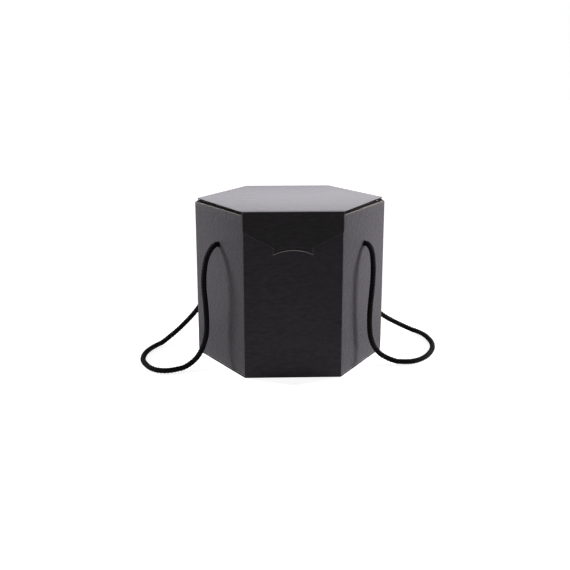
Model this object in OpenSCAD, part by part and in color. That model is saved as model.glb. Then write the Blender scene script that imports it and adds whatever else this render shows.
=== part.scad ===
// Hexagonal carry gift box, die cut from one black corrugated board blank and folded up,
// with a hinged tuck lid and two braided rope handles. Millimetres, +Z up.
// The origin is the middle of the box on the surface that it stands on, and the front faces -Y.

/* [Walls] */
// Width of the front and the back panel
front_w = 110; // [90:1:140]
// Distance between the left and the right corner
corner_span = 228; // [200:1:280]
// Distance between the front and the back face
depth = 194; // [170:1:240]
// Height of the folds at the top of the four side panels
wall_h = 189; // [170:1:260]
// Thickness of the corrugated board
board_t = 1.5; // [1:0.1:2]

/* [Lid] */
// Height of the lid's underside above the side panels' top folds
lid_rise = 2.5; // [2.3:0.1:4]
// How far the lid's left and right corners stand back from the walls' corners
lid_corner_inset = 3; // [2:0.5:8]
// How far each end of the lid's back fold stands in from the back panel's corner
lid_back_inset = 1; // [0.5:0.5:4]
// How far the lid's front edge and flap reach past the front panel at each side
front_overhang = 1; // [0:0.25:2]
// Clearance between the front flap and the front panel
flap_gap = 0.3; // [0.2:0.05:0.6]
// Clearance in a fold between two panels that move
fold_gap = 0.3; // [0.2:0.05:0.5]

/* [Front flap] */
// Height of the flap's upright sides, from the lid's top
flap_side_h = 22.5; // [15:0.5:30]
// Height of the lower ends of the flap's shoulders above the lip
shoulder_rise = 2.1; // [1:0.1:5]
// Width of the tongue
tongue_w = 44; // [30:1:60]
// Length of the tongue
tongue_l = 24; // [16:0.5:28]
// Clearance between the tongue and the inside of the lip
tongue_clear = 0.45; // [0.35:0.05:0.6]
// Radius of the tongue's lower corners
tongue_corner_r = 5; // [2:0.5:8]

/* [Slot] */
// Depth of the lip's highest point below the lid's top
lip_drop = 42.6; // [38:0.2:54]
// Height of the lip's arch above its two ends
lip_arch = 5.7; // [3:0.1:8]
// Clearance at each end of the slot
slot_clear = 0.5; // [0.4:0.1:1]
// Height of the slot's upper edge above the fold of the tongue
slot_rise = 8; // [8:0.5:10]

/* [Dust flaps] */
// Depth of a dust flap
dust_depth = 48; // [30:1:52]
// Slant of a dust flap's ends, in degrees
dust_taper = 38; // [36:1:45]
// Distance from a dust flap's root to the end of its fold
dust_setback = 1.5; // [1.5:0.5:6]
// Clearance between the tips of the sprung dust flaps and the lid
dust_gap = 0.3; // [0.3:0.1:2]

/* [Base] */
// Distance of the base halves' edges from the side panels' outer faces
base_edge = 0.5; // [0.3:0.1:1.5]
// Gap between the two base halves
base_seam = 0.5; // [0.3:0.1:2]
// Depth of the four inner base flaps
base_flap_depth = 45; // [30:1:50]
// Slant of an inner base flap's ends, in degrees
base_flap_taper = 38; // [36:1:45]
// Distance from an inner base flap's root to the end of its fold
base_flap_setback = 3; // [2:0.5:8]
// Width of the base's locking tab
lock_w = 60; // [40:1:80]
// How far the locking tab reaches over the back half
lock_l = 24; // [15:1:26]
// How far the locking tab is rooted on the front half
lock_root = 12; // [8:1:20]
// Radius of the locking tab's corners
lock_corner_r = 8; // [4:1:12]
// Radius of the finger notch in the back half
finger_r = 12; // [8:1:20]

/* [Glue tab] */
// Width of the glue tab
glue_w = 25; // [15:1:35]
// Distance of the glue tab's ends from the base flaps and from the top folds
glue_end_gap = 4; // [2:0.5:12]

/* [Ropes] */
// Diameter of the rope
rope_d = 6; // [4:0.25:6.5]
// Clearance all round the rope in its hole
hole_clear = 0.5; // [0.3:0.1:1]
// Height of the rope holes
hole_h = 147; // [120:1:160]
// Diameter of a knot
knot_d = 15; // [14:0.5:17]
// Length of a knot
knot_l = 11; // [7:0.5:12]

/* [Hidden] */

$fn = 96;
rope_sides = 10;
cut_over = 1; // how far a cutter runs past the faces that it cuts

board_black = "#29292b";
fold_black = "#232325";
inner_black = "#1f1d1c";
rope_black = "#141416";

// The hexagon's sides, counted anticlockwise from the front as seen from above
FRONT = 0;
FRONT_RIGHT = 1;
BACK_RIGHT = 2;
BACK = 3;
BACK_LEFT = 4;
FRONT_LEFT = 5;

// Corner i is where side i starts
corners = [[-front_w / 2, -depth / 2], [front_w / 2, -depth / 2], [corner_span / 2, 0],
    [front_w / 2, depth / 2], [-front_w / 2, depth / 2], [-corner_span / 2, 0]];

lid_top = wall_h + lid_rise + board_t;
back_wall_h = lid_top - board_t - fold_gap;
side_wall_h = wall_h - board_t - fold_gap;
flap_outer_y = -depth / 2 - flap_gap - board_t;
flap_half_w = front_w / 2 + front_overhang;
slot_half_w = tongue_w / 2 + slot_clear;
lip_end_z = lid_top - lip_drop - lip_arch;
lip_r = (slot_half_w * slot_half_w + lip_arch * lip_arch) / (2 * lip_arch);
hole_r = rope_d / 2 + hole_clear;

// While the lid turns by one degree the flap turns by one and a half, so the tongue leans along
// the way by which it leaves the slot. Its fold is as high as it must be to clear the lip.
tongue_lean = atan(1.5 * (lip_drop + 0.57 * tongue_l) / depth);
tongue_drop = lip_drop - (2 * board_t + flap_gap + tongue_clear) / tan(tongue_lean);
slot_top_z = lid_top - tongue_drop + slot_rise;
dust_spring = asin((lid_rise - dust_gap) / dust_depth);

// Routes of the two ropes between their holes, for a 6 mm rope on a box 228 wide with a front
// panel 110 wide, 194 deep, with holes 147 above the floor. One point every 12 to 14 mm.
route_span = 228 + 110;
route_depth = 194;
route_hole_h = 147;
route_r = 3;
left_route = [[-88.5, -51, 146.5], [-94, -54.5, 141], [-98.5, -57, 131], [-101, -58, 118],
    [-102, -58.5, 104.5], [-101.5, -58.5, 90.5], [-100.5, -58, 76.5], [-100, -57, 63],
    [-100, -56.5, 49.5], [-101.5, -56, 36.5], [-105.5, -56.5, 24], [-112, -59, 13],
    [-121, -64, 6], [-131.5, -71, 3], [-143.5, -77, 3], [-156, -76, 3],
    [-166, -68, 3], [-173, -56, 3], [-178, -42.5, 3], [-179.5, -28.5, 3],
    [-178.5, -14.5, 3], [-175, -1, 3], [-169.5, 11.5, 3], [-162.5, 23.5, 3.5],
    [-154, 32.5, 8], [-144.5, 38.5, 14.5], [-135, 43.5, 22.5], [-125.5, 48.5, 31.5],
    [-117, 53, 41], [-109.5, 56, 51.5], [-105, 58, 63.5], [-102.5, 59, 76.5],
    [-102, 59, 90.5], [-102, 58.5, 104.5], [-101, 58, 118], [-98.5, 57, 131],
    [-94, 54.5, 141], [-88.5, 51, 146.5]];
right_route = [[88.5, -51, 146], [92.5, -54, 139.5], [94, -56.5, 128], [94.5, -57.5, 115],
    [94, -58, 101.5], [93, -58.5, 88], [92, -58.5, 74.5], [91.5, -58, 61],
    [92, -56.5, 47.5], [94, -54.5, 34], [98.5, -53, 22], [106.5, -52, 12],
    [117, -53, 6], [129.5, -56, 3], [143, -56, 3], [155, -49, 3],
    [165, -37.5, 3], [172, -24.5, 3], [177, -11.5, 3], [180, 2, 3],
    [181, 15.5, 3], [180, 29.5, 3], [177.5, 43, 3], [172.5, 55.5, 3],
    [165, 66, 3.5], [154.5, 71.5, 7], [142.5, 71.5, 13], [131, 69, 20],
    [120.5, 65.5, 28.5], [112, 62.5, 39], [106, 60.5, 52], [103, 59.5, 66],
    [102, 59, 80.5], [102, 58.5, 95], [101.5, 58, 109], [100, 57.5, 122.5],
    [96.5, 56, 135.5], [89, 51.5, 146]];

function unit(v) = v / norm(v);

// Direction along side i, and the normal that points into the box
function along(i) = unit(corners[(i + 1) % 6] - corners[i]);
function inward(i) = [-along(i)[1], along(i)[0]];
function side_len(i) = norm(corners[(i + 1) % 6] - corners[i]);
function middle(i) = (corners[i] + corners[(i + 1) % 6]) / 2;

// Where the side before corner i, moved in by a, crosses side i, moved in by b
function inset(i, a, b) =
    let (m = inward((i + 5) % 6), n = inward(i), det = m[0] * n[1] - m[1] * n[0])
    corners[i] + [a * n[1] - b * m[1], b * m[0] - a * n[0]] / det;

// Point at height y of the plan on side i moved in by a
function at_y(i, a, y) =
    let (p = corners[i] + a * inward(i), d = along(i))
    p + d * (y - p[1]) / d[1];

// Places its children on side i: x along the side from its middle, y into the box
module on_side(i) {
    translate(middle(i))
        rotate(atan2(along(i)[1], along(i)[0]))
            children();
}

// Plan of the wall on side i, mitred at both corners
module wall_plan(i) {
    next = (i + 1) % 6;
    polygon([corners[i], corners[next], inset(next, board_t, board_t), inset(i, board_t, board_t)]);
}

// Plan of a flap with slanting ends, its root along x
module tapered_plan(root_w, flap_depth, taper) {
    tip_w = root_w - 2 * flap_depth * tan(taper);
    polygon([[-root_w / 2, 0], [root_w / 2, 0], [tip_w / 2, flap_depth], [-tip_w / 2, flap_depth]]);
}

// Rectangle from y = 0 to y = h with its two far corners rounded
module round_ended_plan(w, h, r) {
    translate([-w / 2, 0])
        square([w, h - r]);
    translate([-w / 2 + r, 0])
        square([w - 2 * r, h]);
    for (s = [-1, 1])
        translate([s * (w / 2 - r), h - r])
            circle(r);
}

// Slot in the front panel, drawn with x across and y up: its lower edge is the arched lip
module slot_plan() {
    difference() {
        translate([-slot_half_w, lip_end_z])
            square([2 * slot_half_w, slot_top_z - lip_end_z]);
        translate([0, lip_end_z + lip_arch - lip_r])
            circle(lip_r);
    }
}

module front_panel() {
    color(board_black)
        difference() {
            linear_extrude(wall_h)
                wall_plan(FRONT);
            translate([0, -depth / 2 + board_t + cut_over, 0])
                rotate([90, 0, 0])
                    linear_extrude(board_t + 2 * cut_over)
                        slot_plan();
        }
}

module back_panel() {
    color(board_black)
        linear_extrude(back_wall_h)
            wall_plan(BACK);
}

// A side panel stands on the base halves, and has the hole for one end of a rope
module side_panel(i) {
    color(board_black)
        difference() {
            translate([0, 0, board_t])
                linear_extrude(side_wall_h - board_t)
                    wall_plan(i);
            on_side(i)
                translate([0, board_t + cut_over, hole_h])
                    rotate([90, 0, 0])
                        cylinder(r = hole_r, h = board_t + 2 * cut_over);
        }
}

// Strip that joins the two ends of the blank, inside the back left panel
module glue_tab() {
    root = inset(BACK_LEFT, board_t, board_t);
    end = root + glue_w * along(BACK_LEFT);
    bottom = 2 * board_t + glue_end_gap;
    color(inner_black)
        translate([0, 0, bottom])
            linear_extrude(side_wall_h - glue_end_gap - bottom)
                polygon([root, end, end + board_t * inward(BACK_LEFT),
                    inset(BACK_LEFT, board_t, 2 * board_t)]);
}

// Front half of the base, with the tab that locks over the back half
module base_front_flap() {
    color(board_black) {
        linear_extrude(board_t)
            polygon([inset(FRONT, base_edge, board_t), inset(FRONT_RIGHT, board_t, base_edge),
                at_y(FRONT_RIGHT, base_edge, -base_seam / 2), at_y(FRONT_LEFT, base_edge, -base_seam / 2)]);
        translate([0, -lock_root, board_t])
            linear_extrude(board_t)
                round_ended_plan(lock_w, lock_root + lock_l, lock_corner_r);
    }
}

// Back half of the base, with a notch for a finger under the locking tab
module base_back_flap() {
    color(board_black)
        linear_extrude(board_t)
            difference() {
                polygon([at_y(BACK_LEFT, base_edge, base_seam / 2), at_y(BACK_RIGHT, base_edge, base_seam / 2),
                    inset(BACK, base_edge, board_t), inset(BACK_LEFT, board_t, base_edge)]);
                translate([0, base_seam / 2])
                    circle(finger_r);
            }
}

// Inner base flap of side panel i, lying on the two base halves
module inner_base_flap(i) {
    color(inner_black)
        on_side(i)
            translate([0, board_t, board_t])
                linear_extrude(board_t)
                    tapered_plan(side_len(i) - 2 * base_flap_setback, base_flap_depth - board_t,
                        base_flap_taper);
}

// Lid, from the back panel's top fold to the front flap's
module lid_panel() {
    side_x = corner_span / 2 - lid_corner_inset;
    back_x = front_w / 2 - lid_back_inset;
    front_y = flap_outer_y + board_t + fold_gap;
    color(board_black)
        translate([0, 0, lid_top - board_t])
            linear_extrude(board_t)
                polygon([[-flap_half_w, front_y], [flap_half_w, front_y], [side_x, 0],
                    [back_x, depth / 2], [-back_x, depth / 2], [-side_x, 0]]);
}

// Flap in front of the front panel, notched where the tongue leans inward
module lid_front_flap() {
    shoulder_y = shoulder_rise - lip_drop;
    half_w = flap_half_w;
    notch = slot_half_w;
    color(board_black)
        translate([0, flap_outer_y + board_t, lid_top])
            rotate([90, 0, 0])
                linear_extrude(board_t)
                    polygon([[-half_w, 0], [-half_w, -flap_side_h], [-notch, shoulder_y],
                        [-notch, -tongue_drop], [notch, -tongue_drop], [notch, shoulder_y],
                        [half_w, -flap_side_h], [half_w, 0]]);
}

// Tongue that goes behind the lip. It leans inward, and its root is cut level under the flap.
module lock_tongue() {
    fold_z = lid_top - tongue_drop;
    color(fold_black)
        intersection() {
            translate([0, flap_outer_y, fold_z])
                rotate([tongue_lean - 90, 0, 0])
                    translate([0, -board_t, 0])
                        linear_extrude(board_t)
                            round_ended_plan(tongue_w, board_t + tongue_l, tongue_corner_r);
            translate([-tongue_w, flap_outer_y - tongue_l, fold_z - 2 * tongue_l])
                cube([2 * tongue_w, 3 * tongue_l, 2 * tongue_l]);
        }
}

// Dust flap of side panel i, sprung up a little from its fold
module dust_flap(i) {
    color(fold_black)
        on_side(i)
            translate([0, 0, wall_h])
                rotate([dust_spring, 0, 0])
                    translate([0, 0, -board_t])
                        linear_extrude(board_t)
                            tapered_plan(side_len(i) - 2 * dust_setback, dust_depth, dust_taper);
}

// Knot inside side panel i, its flat face against the panel
module knot(i) {
    color(rope_black)
        on_side(i)
            translate([0, board_t, hole_h])
                rotate([-90, 0, 0])
                    intersection() {
                        translate([0, 0, knot_l / 2])
                            sphere(d = knot_d);
                        cylinder(d = knot_d + cut_over, h = knot_l);
                    }
}

// Where a rope leaves its knot, in the hole of side panel i
function rope_end(i) = let (p = middle(i) + board_t * inward(i)) [p[0], p[1], hole_h];
function outward(i) = [-inward(i)[0], -inward(i)[1], 0];

// A route fitted to the sizes above: both ends stay at the holes, and the loop on the floor
function fitted(route) = [for (p = route) [p[0] * (corner_span + front_w) / route_span,
    p[1] * depth / route_depth,
    rope_d / 2 + (p[2] - route_r) * (hole_h - rope_d / 2) / (route_hole_h - route_r)]];

// Directions of the rings: square to the panels at the ends, and between neighbours elsewhere
function ring_dirs(path, from_side, to_side) =
    [for (i = [0 : len(path) - 1])
        i == 0 ? outward(from_side)
            : i == len(path) - 1 ? -outward(to_side)
            : unit(path[i + 1] - path[i - 1])];

// One vector square to each direction, carried along the path so that the rings never twist
function carried(dirs, u, i = 0) =
    i == len(dirs) ? []
        : let (v = unit(u - (u * dirs[i]) * dirs[i])) concat([v], carried(dirs, v, i + 1));

// Tube along a path: one ring of points for each path point, joined by triangles
module rope(route, from_side, to_side) {
    path = concat([rope_end(from_side)], fitted(route), [rope_end(to_side)]);
    dirs = ring_dirs(path, from_side, to_side);
    ups = carried(dirs, [0, 0, 1]);
    n = rope_sides;
    points = [for (i = [0 : len(path) - 1], k = [0 : n - 1])
        path[i] + rope_d / 2 * (cos(360 * k / n) * ups[i] + sin(360 * k / n) * cross(dirs[i], ups[i]))];
    walls = [for (i = [0 : len(path) - 2], k = [0 : n - 1], half = [0, 1])
        let (a = i * n + k, b = i * n + (k + 1) % n)
        half == 0 ? [a, a + n, b] : [b, a + n, b + n]];
    start = [for (k = [0 : n - 1]) k];
    finish = [for (k = [0 : n - 1]) len(path) * n - 1 - k];
    color(rope_black)
        polyhedron(points, concat([start], walls, [finish]));
}

front_panel();
side_panel(FRONT_RIGHT);  // front_right_panel
side_panel(BACK_RIGHT);  // back_right_panel
back_panel();
side_panel(BACK_LEFT);  // back_left_panel
side_panel(FRONT_LEFT);  // front_left_panel
glue_tab();
base_front_flap();
base_back_flap();
inner_base_flap(FRONT_RIGHT);  // base_front_right_flap
inner_base_flap(BACK_RIGHT);  // base_back_right_flap
inner_base_flap(BACK_LEFT);  // base_back_left_flap
inner_base_flap(FRONT_LEFT);  // base_front_left_flap
lid_panel();
lid_front_flap();
lock_tongue();
dust_flap(FRONT_RIGHT);  // front_right_dust_flap
dust_flap(BACK_RIGHT);  // back_right_dust_flap
dust_flap(BACK_LEFT);  // back_left_dust_flap
dust_flap(FRONT_LEFT);  // front_left_dust_flap
rope(left_route, FRONT_LEFT, BACK_LEFT);  // left_rope
rope(right_route, FRONT_RIGHT, BACK_RIGHT);  // right_rope
knot(FRONT_LEFT);  // left_rope_front_knot
knot(BACK_LEFT);  // left_rope_back_knot
knot(FRONT_RIGHT);  // right_rope_front_knot
knot(BACK_RIGHT);  // right_rope_back_knot
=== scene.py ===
from math import atan2, cos, pi, radians, sin, tan

import bpy
import numpy as np
from bpy.props import FloatProperty, FloatVectorProperty, IntProperty, PointerProperty
from mathutils import Matrix, Vector


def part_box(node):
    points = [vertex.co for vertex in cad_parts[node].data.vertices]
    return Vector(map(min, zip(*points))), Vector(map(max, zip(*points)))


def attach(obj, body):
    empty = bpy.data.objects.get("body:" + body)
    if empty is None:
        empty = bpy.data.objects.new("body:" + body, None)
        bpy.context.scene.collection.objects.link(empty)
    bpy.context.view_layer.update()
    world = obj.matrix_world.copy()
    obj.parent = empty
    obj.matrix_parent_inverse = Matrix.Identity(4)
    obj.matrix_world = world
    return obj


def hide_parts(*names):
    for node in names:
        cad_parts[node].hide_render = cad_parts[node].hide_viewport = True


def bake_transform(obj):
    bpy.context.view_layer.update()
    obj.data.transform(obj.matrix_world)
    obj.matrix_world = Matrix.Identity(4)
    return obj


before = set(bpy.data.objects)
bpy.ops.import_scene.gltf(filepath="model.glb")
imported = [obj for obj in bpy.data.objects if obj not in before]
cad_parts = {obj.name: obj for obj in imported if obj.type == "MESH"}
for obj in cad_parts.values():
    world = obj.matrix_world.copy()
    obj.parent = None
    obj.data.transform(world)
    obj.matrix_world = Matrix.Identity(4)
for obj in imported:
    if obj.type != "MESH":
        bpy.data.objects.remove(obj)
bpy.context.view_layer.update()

bl_info = {
    "name": "Hexagonal Gift Box",
    "version": (1, 0, 0),
    "blender": (4, 5, 0),
    "location": "View3D > Sidebar > Gift Box",
    "description": "Folded board, braided ropes and a studio for a six-sided carry box",
    "category": "Object",
}

MM = 0.001


def corner_mm(node, end):
    """One corner of a CAD node's box in millimetres: end 0 is the lowest and 1 the highest."""
    return np.array(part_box(node)[end]) / MM


# Sizes taken from the frame, in millimetres
HALF_FRONT = corner_mm("front_panel", 1)[0]
HALF_SPAN = corner_mm("front_right_panel", 1)[0]
HALF_DEPTH = corner_mm("back_panel", 1)[1]
LID_HALF, _, LID_TOP = corner_mm("lid_panel", 1)
_, FLAP_FACE, FLAP_LOW = corner_mm("lid_front_flap", 0)
FLAP_HALF = corner_mm("lid_front_flap", 1)[0]
TONGUE_HALF = corner_mm("lock_tongue", 1)[0]
TONGUE_TIP = corner_mm("lock_tongue", 0)[2]
WALL_TOP = corner_mm("front_panel", 1)[2]
BOARD = corner_mm("base_back_flap", 1)[2]
HOLE_HEIGHT = (corner_mm("left_rope_front_knot", 0)[2] + corner_mm("left_rope_front_knot", 1)[2]) / 2
# Sizes of the slot: half its width, its upper edge, and the two ends and the arch of the lip that is its lower edge
SLOT_HALF, SLOT_TOP = TONGUE_HALF + 0.5, LID_TOP - 26.0
LIP_ENDS, LIP_ARCH = LID_TOP - 48.3, 5.7
# Where the front flap's fold begins in front of the last flat row of the lid
FOLD_LEAD = 1.2
# What two distances may differ by and still be taken for the same
TINY = 0.01

# The six walls' corners, anticlockwise from the front left, and the walls between them
CORNERS = np.array([[-HALF_FRONT, -HALF_DEPTH], [HALF_FRONT, -HALF_DEPTH], [HALF_SPAN, 0],
                    [HALF_FRONT, HALF_DEPTH], [-HALF_FRONT, HALF_DEPTH], [-HALF_SPAN, 0]])
FRONT, FRONT_RIGHT, BACK_RIGHT, BACK, BACK_LEFT, FRONT_LEFT = range(6)
SIDES = {"front_right": FRONT_RIGHT, "back_right": BACK_RIGHT, "back_left": BACK_LEFT, "front_left": FRONT_LEFT}


# ------------ settings

def srgb(text):
    """An sRGB hex colour as three numbers from 0 to 1."""
    return tuple(int(text[k:k + 2], 16) / 255 for k in (1, 3, 5))


def size_prop(name, description, size):
    """A setting that is a length, with its default in millimetres."""
    return FloatProperty(name=name, description=description, default=size * MM, unit="LENGTH")


def angle_prop(name, description, degrees):
    """A setting that is an angle, with its default in degrees."""
    return FloatProperty(name=name, description=description, default=radians(degrees), subtype="ANGLE")


def number_prop(name, description, value):
    """A setting that is a plain number, such as a strength."""
    return FloatProperty(name=name, description=description, default=value)


def colour_prop(name, description, text):
    """A setting that is a colour, with its default in sRGB hex."""
    return FloatVectorProperty(name=name, description=description, default=srgb(text), size=3, subtype="COLOR_GAMMA")


class BoardSettings(bpy.types.PropertyGroup):
    """Sizes and colours of the corrugated board."""
    fold_radius: size_prop("Fold radius", "Outer radius of a folded crease", 1.6)
    edge_round: size_prop("Edge round", "How far a die-cut edge is pressed round", 0.2)
    # Edge wear and rub width set the painted highlight along cut edges, which in part stands for real rubbing
    edge_wear_and_highlight: number_prop("Edge wear", "How far the liner is rubbed along a cut edge", 0.04)
    rub_and_highlight_width: size_prop("Rub width", "How far from a cut edge the liner is rubbed", 0.8)
    flute_pitch: size_prop("Flute pitch", "Distance between two flutes of the board", 3.3)
    liner: colour_prop("Liner", "Colour of the outer paper", "#312e32")
    # Painted shade: the pressed liner is a darker copy of the outer liner, for the front flap's lesser light
    pressed: colour_prop("Pressed liner", "Colour of the front flap's liner, matted by folding", "#2b292b")
    # Painted shade: the dust flaps' liner is near black, for the shadow they lie in under the lid
    dust_flap_shade: colour_prop("Unglazed liner", "Colour of the liner on the dust flaps", "#141010")
    # The bare fibre colour is the pale colour of the painted highlights on folds, cut edges and the lip, partly real
    # wear
    fibre_and_highlight: colour_prop("Bare fibre", "Colour of undyed fibre where the liner is rubbed", "#b2aca8")
    core: colour_prop("Core", "Colour of the paper in a cut edge", "#0b0705")


class RopeSettings(bpy.types.PropertyGroup):
    """Sizes and colour of the braided rope."""
    diameter: size_prop("Diameter", "Diameter over the braid", 6)
    strands: IntProperty(name="Strands", description="Strands that turn one way round the rope", default=6)
    pitch: size_prop("Pitch", "Length of one strand crossing along the rope", 4.0)
    relief: size_prop("Relief", "Height of a strand over the gaps beside it", 1.3)
    crest: size_prop("Crest", "How far the tops of the strands stand outside the diameter", 0.35)
    yarn: colour_prop("Yarn", "Colour of the yarn", "#0c0a0d")


class StudioSettings(bpy.types.PropertyGroup):
    """Strengths and places of the studio's lights."""
    left_power: FloatProperty(name="Left lamp", description="Power of the left lamp", default=0.6, subtype="POWER")
    right_power: FloatProperty(name="Right lamp", description="Power of the right lamp", default=0.86, subtype="POWER")
    lamp_size: size_prop("Lamp size", "Side of a lamp's square face", 260)
    lamp_distance: size_prop("Lamp distance", "From a lamp to the side panels", 650)
    lamp_spread: angle_prop("Lamp spread", "Full angle of a lamp's beam, narrowed by its grid", 26)
    lamp_aim: size_prop("Lamp aim", "Height on the side panels that the lamps point at", 125)
    lamp_back: angle_prop("Lamp set back", "How far each lamp stands behind the side of the box", 24)
    lamp_rise: angle_prop("Lamp rise", "Height of each lamp over the level", 24)
    back_sky: number_prop("Back wall", "Brightness of the studio behind the box", 1.0)
    side_sky: number_prop("Side walls", "Brightness of the studio at its sides", 0.1)
    front_sky: number_prop("Camera side", "Brightness of the studio behind the camera", 0.33)
    floor_glow: number_prop("Floor glow", "How white the floor is by itself beside the box", 0.86)
    floor_shadow: number_prop("Floor shadow", "How much of the lamps' light the seen floor adds", 0.46)
    floor: colour_prop("Floor", "Colour of the floor", "#f6f6f6")


def board_mm(key):
    """One of the board's lengths, in millimetres."""
    return getattr(bpy.context.scene.gift_board, key) / MM


# ------------ materials

def linear(shade):
    """Three sRGB numbers from 0 to 1 turned to linear light, and an alpha of 1."""
    return tuple(c / 12.92 if c <= 0.04045 else ((c + 0.055) / 1.055) ** 2.4 for c in shade) + (1.0,)


def add(tree, kind, inputs=(), **settings):
    """Adds one shader node with its settings. inputs maps a socket's name or number to a value, to another socket, or
    to a node, whose first output is meant."""
    node = tree.nodes.new("ShaderNode" + kind)
    for key, value in settings.items():
        setattr(node, key, value)
    for key, value in dict(inputs).items():
        if isinstance(value, bpy.types.Node):
            value = value.outputs[0]
        if isinstance(value, bpy.types.NodeSocket):
            tree.links.new(value, node.inputs[key])
        else:
            node.inputs[key].default_value = value
    return node


def empty_tree(owner):
    """The node tree of a new material or world, with nothing in it."""
    owner.use_nodes = True
    owner.node_tree.nodes.clear()
    return owner.node_tree


def flute_wave(tree):
    """The board's UV taken apart, and a sine with one period for each flute."""
    part = add(tree, "SeparateXYZ", {0: add(tree, "UVMap", uv_map="board")})
    turns = add(tree, "Math", {0: part, 1: 2 * pi}, operation="MULTIPLY")
    return part, add(tree, "Math", {0: turns}, operation="SINE")


def liner_inputs(tree, dye, roughness, sheen):
    """Solid-dyed black kraft liner, machine-glazed: matt seen square on, with a soft pale sheen at a low angle."""
    # Most fibres lie along the web that the liner was made on, which is level on the walls
    place = add(tree, "TexCoord").outputs["Object"]
    place = add(tree, "VectorMath", {0: place, 1: (0.55, 1.0, 1.3)}, operation="MULTIPLY")
    # Short pulp fibres, 0.9 mm apart
    fibres = add(tree, "TexNoise", {"Vector": place, "Scale": 1100.0, "Detail": 5.0, "Roughness": 0.7})
    # Cloudy formation of the sheet, 4 mm across and 8 mm along the web
    cloud = add(tree, "TexNoise", {"Vector": place, "Scale": 230.0, "Detail": 4.0})
    tone = add(tree, "Math", {0: fibres, 1: cloud}, operation="ADD")
    light = add(tree, "MapRange", {0: tone, 1: 0.7, 2: 1.3, 3: 0.78, 4: 1.22})
    dyed = add(tree, "VectorMath", {0: linear(dye)[:3], "Scale": light}, operation="SCALE")
    # Painted highlight, partly real wear: where the liner is stretched over a fold, rubbed along a cut edge or crests
    # the lip, the colour is mixed towards pale fibre, which also stands for the light that these edges catch
    wear_and_highlight = add(tree, "Attribute", attribute_name="wear_and_highlight").outputs["Fac"]
    rub_and_highlight = add(tree, "Math", {0: wear_and_highlight, 1: light}, operation="MULTIPLY", use_clamp=True)
    fibre_and_highlight = linear(bpy.context.scene.gift_board.fibre_and_highlight)
    mix = add(tree, "Mix", {0: rub_and_highlight, 6: dyed, 7: fibre_and_highlight}, data_type="RGBA")
    rough = add(tree, "MapRange", {0: tone, 1: 0.7, 2: 1.3, 3: roughness - 0.05, 4: roughness + 0.05})
    # The flutes press faintly through the liner as level lines, and clouds and fibres roughen it
    normal = None
    for height, depth in ((flute_wave(tree)[1], 0.02), (cloud, 0.38), (fibres, 0.12)):
        under = {"Normal": normal} if normal else {}
        normal = add(tree, "Bump", {"Height": height, "Distance": depth * MM, "Strength": 1.0, **under})
    # Mostly a low-angle sheen of upright fibres over a weak, broad gloss
    return {"Base Color": mix.outputs[2], "Roughness": rough, "Normal": normal, "IOR": 1.5, "Specular IOR Level": 0.05,
            "Sheen Weight": sheen, "Sheen Roughness": 0.3, "Sheen Tint": (1.0, 0.965, 1.05, 1.0)}


def cut_inputs(tree, dye):
    """Die-cut edge of the board: two liners with a waved flute between them, and the hollows beside it painted near
    black as the shade inside the flute cavities.
    """
    part, wave = flute_wave(tree)
    flute = add(tree, "Math", {0: wave, 1: 0.3, 2: 0.5}, operation="MULTIPLY_ADD")
    paper = []
    # How far from the flute, and then from the board's middle, the paper and the hollows begin
    for centre, inner, outer, at_inner in ((flute, 0.09, 0.14, 1.0), (0.5, 0.32, 0.36, 0.0)):
        away = add(tree, "Math", {0: part.outputs[1], 1: centre}, operation="SUBTRACT")
        away = add(tree, "Math", {0: away}, operation="ABSOLUTE")
        paper.append(add(tree, "MapRange", {0: away, 1: inner, 2: outer, 3: at_inner, 4: 1 - at_inner}))
    paper = add(tree, "Math", dict(enumerate(paper)), operation="MAXIMUM")
    # Torn fibres, 0.4 mm apart
    place = add(tree, "TexCoord").outputs["Object"]
    fuzz = add(tree, "TexNoise", {"Vector": place, "Scale": 2500.0, "Detail": 3.0})
    # Painted shade: the hollows between flute and liners are coloured near black
    mix = add(tree, "Mix", {0: paper, 6: linear(srgb("#020101")), 7: linear(dye)}, data_type="RGBA")
    height = add(tree, "Math", {0: fuzz, 1: 0.3, 2: paper}, operation="MULTIPLY_ADD")
    bump = add(tree, "Bump", {"Height": height, "Distance": 0.2 * MM, "Strength": 0.8})
    return {"Base Color": mix.outputs[2], "Roughness": 0.9, "Specular IOR Level": 0.02, "Normal": bump}


def rope_inputs(tree, dye):
    """Braided polyester yarn: near black and matt, with painted shade that darkens it in the gaps between its strands.
    """
    # Filaments run along each strand, 0.07 mm apart
    flat = add(tree, "UVMap", uv_map="braid")
    yarn = add(tree, "TexNoise", {"Vector": flat, "Scale": 14.0, "Detail": 3.0, "Roughness": 0.6})
    # Painted shade: the colour is darkened where the braid is low, in the gaps between the strands
    crown = add(tree, "Attribute", attribute_name="crown").outputs["Fac"]
    shade = add(tree, "Math", {0: yarn, 1: 0.35, 2: crown}, operation="MULTIPLY_ADD")
    light = add(tree, "MapRange", {0: shade, 1: 0.1, 2: 1.2, 3: 0.35, 4: 1.35})
    tint = add(tree, "VectorMath", {0: linear(dye)[:3], "Scale": light}, operation="SCALE")
    bump = add(tree, "Bump", {"Height": yarn, "Distance": 0.06 * MM, "Strength": 1.0})
    return {"Base Color": tint, "Roughness": 0.7, "Specular IOR Level": 0.06, "Normal": bump}


MATERIALS = {}


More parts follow.
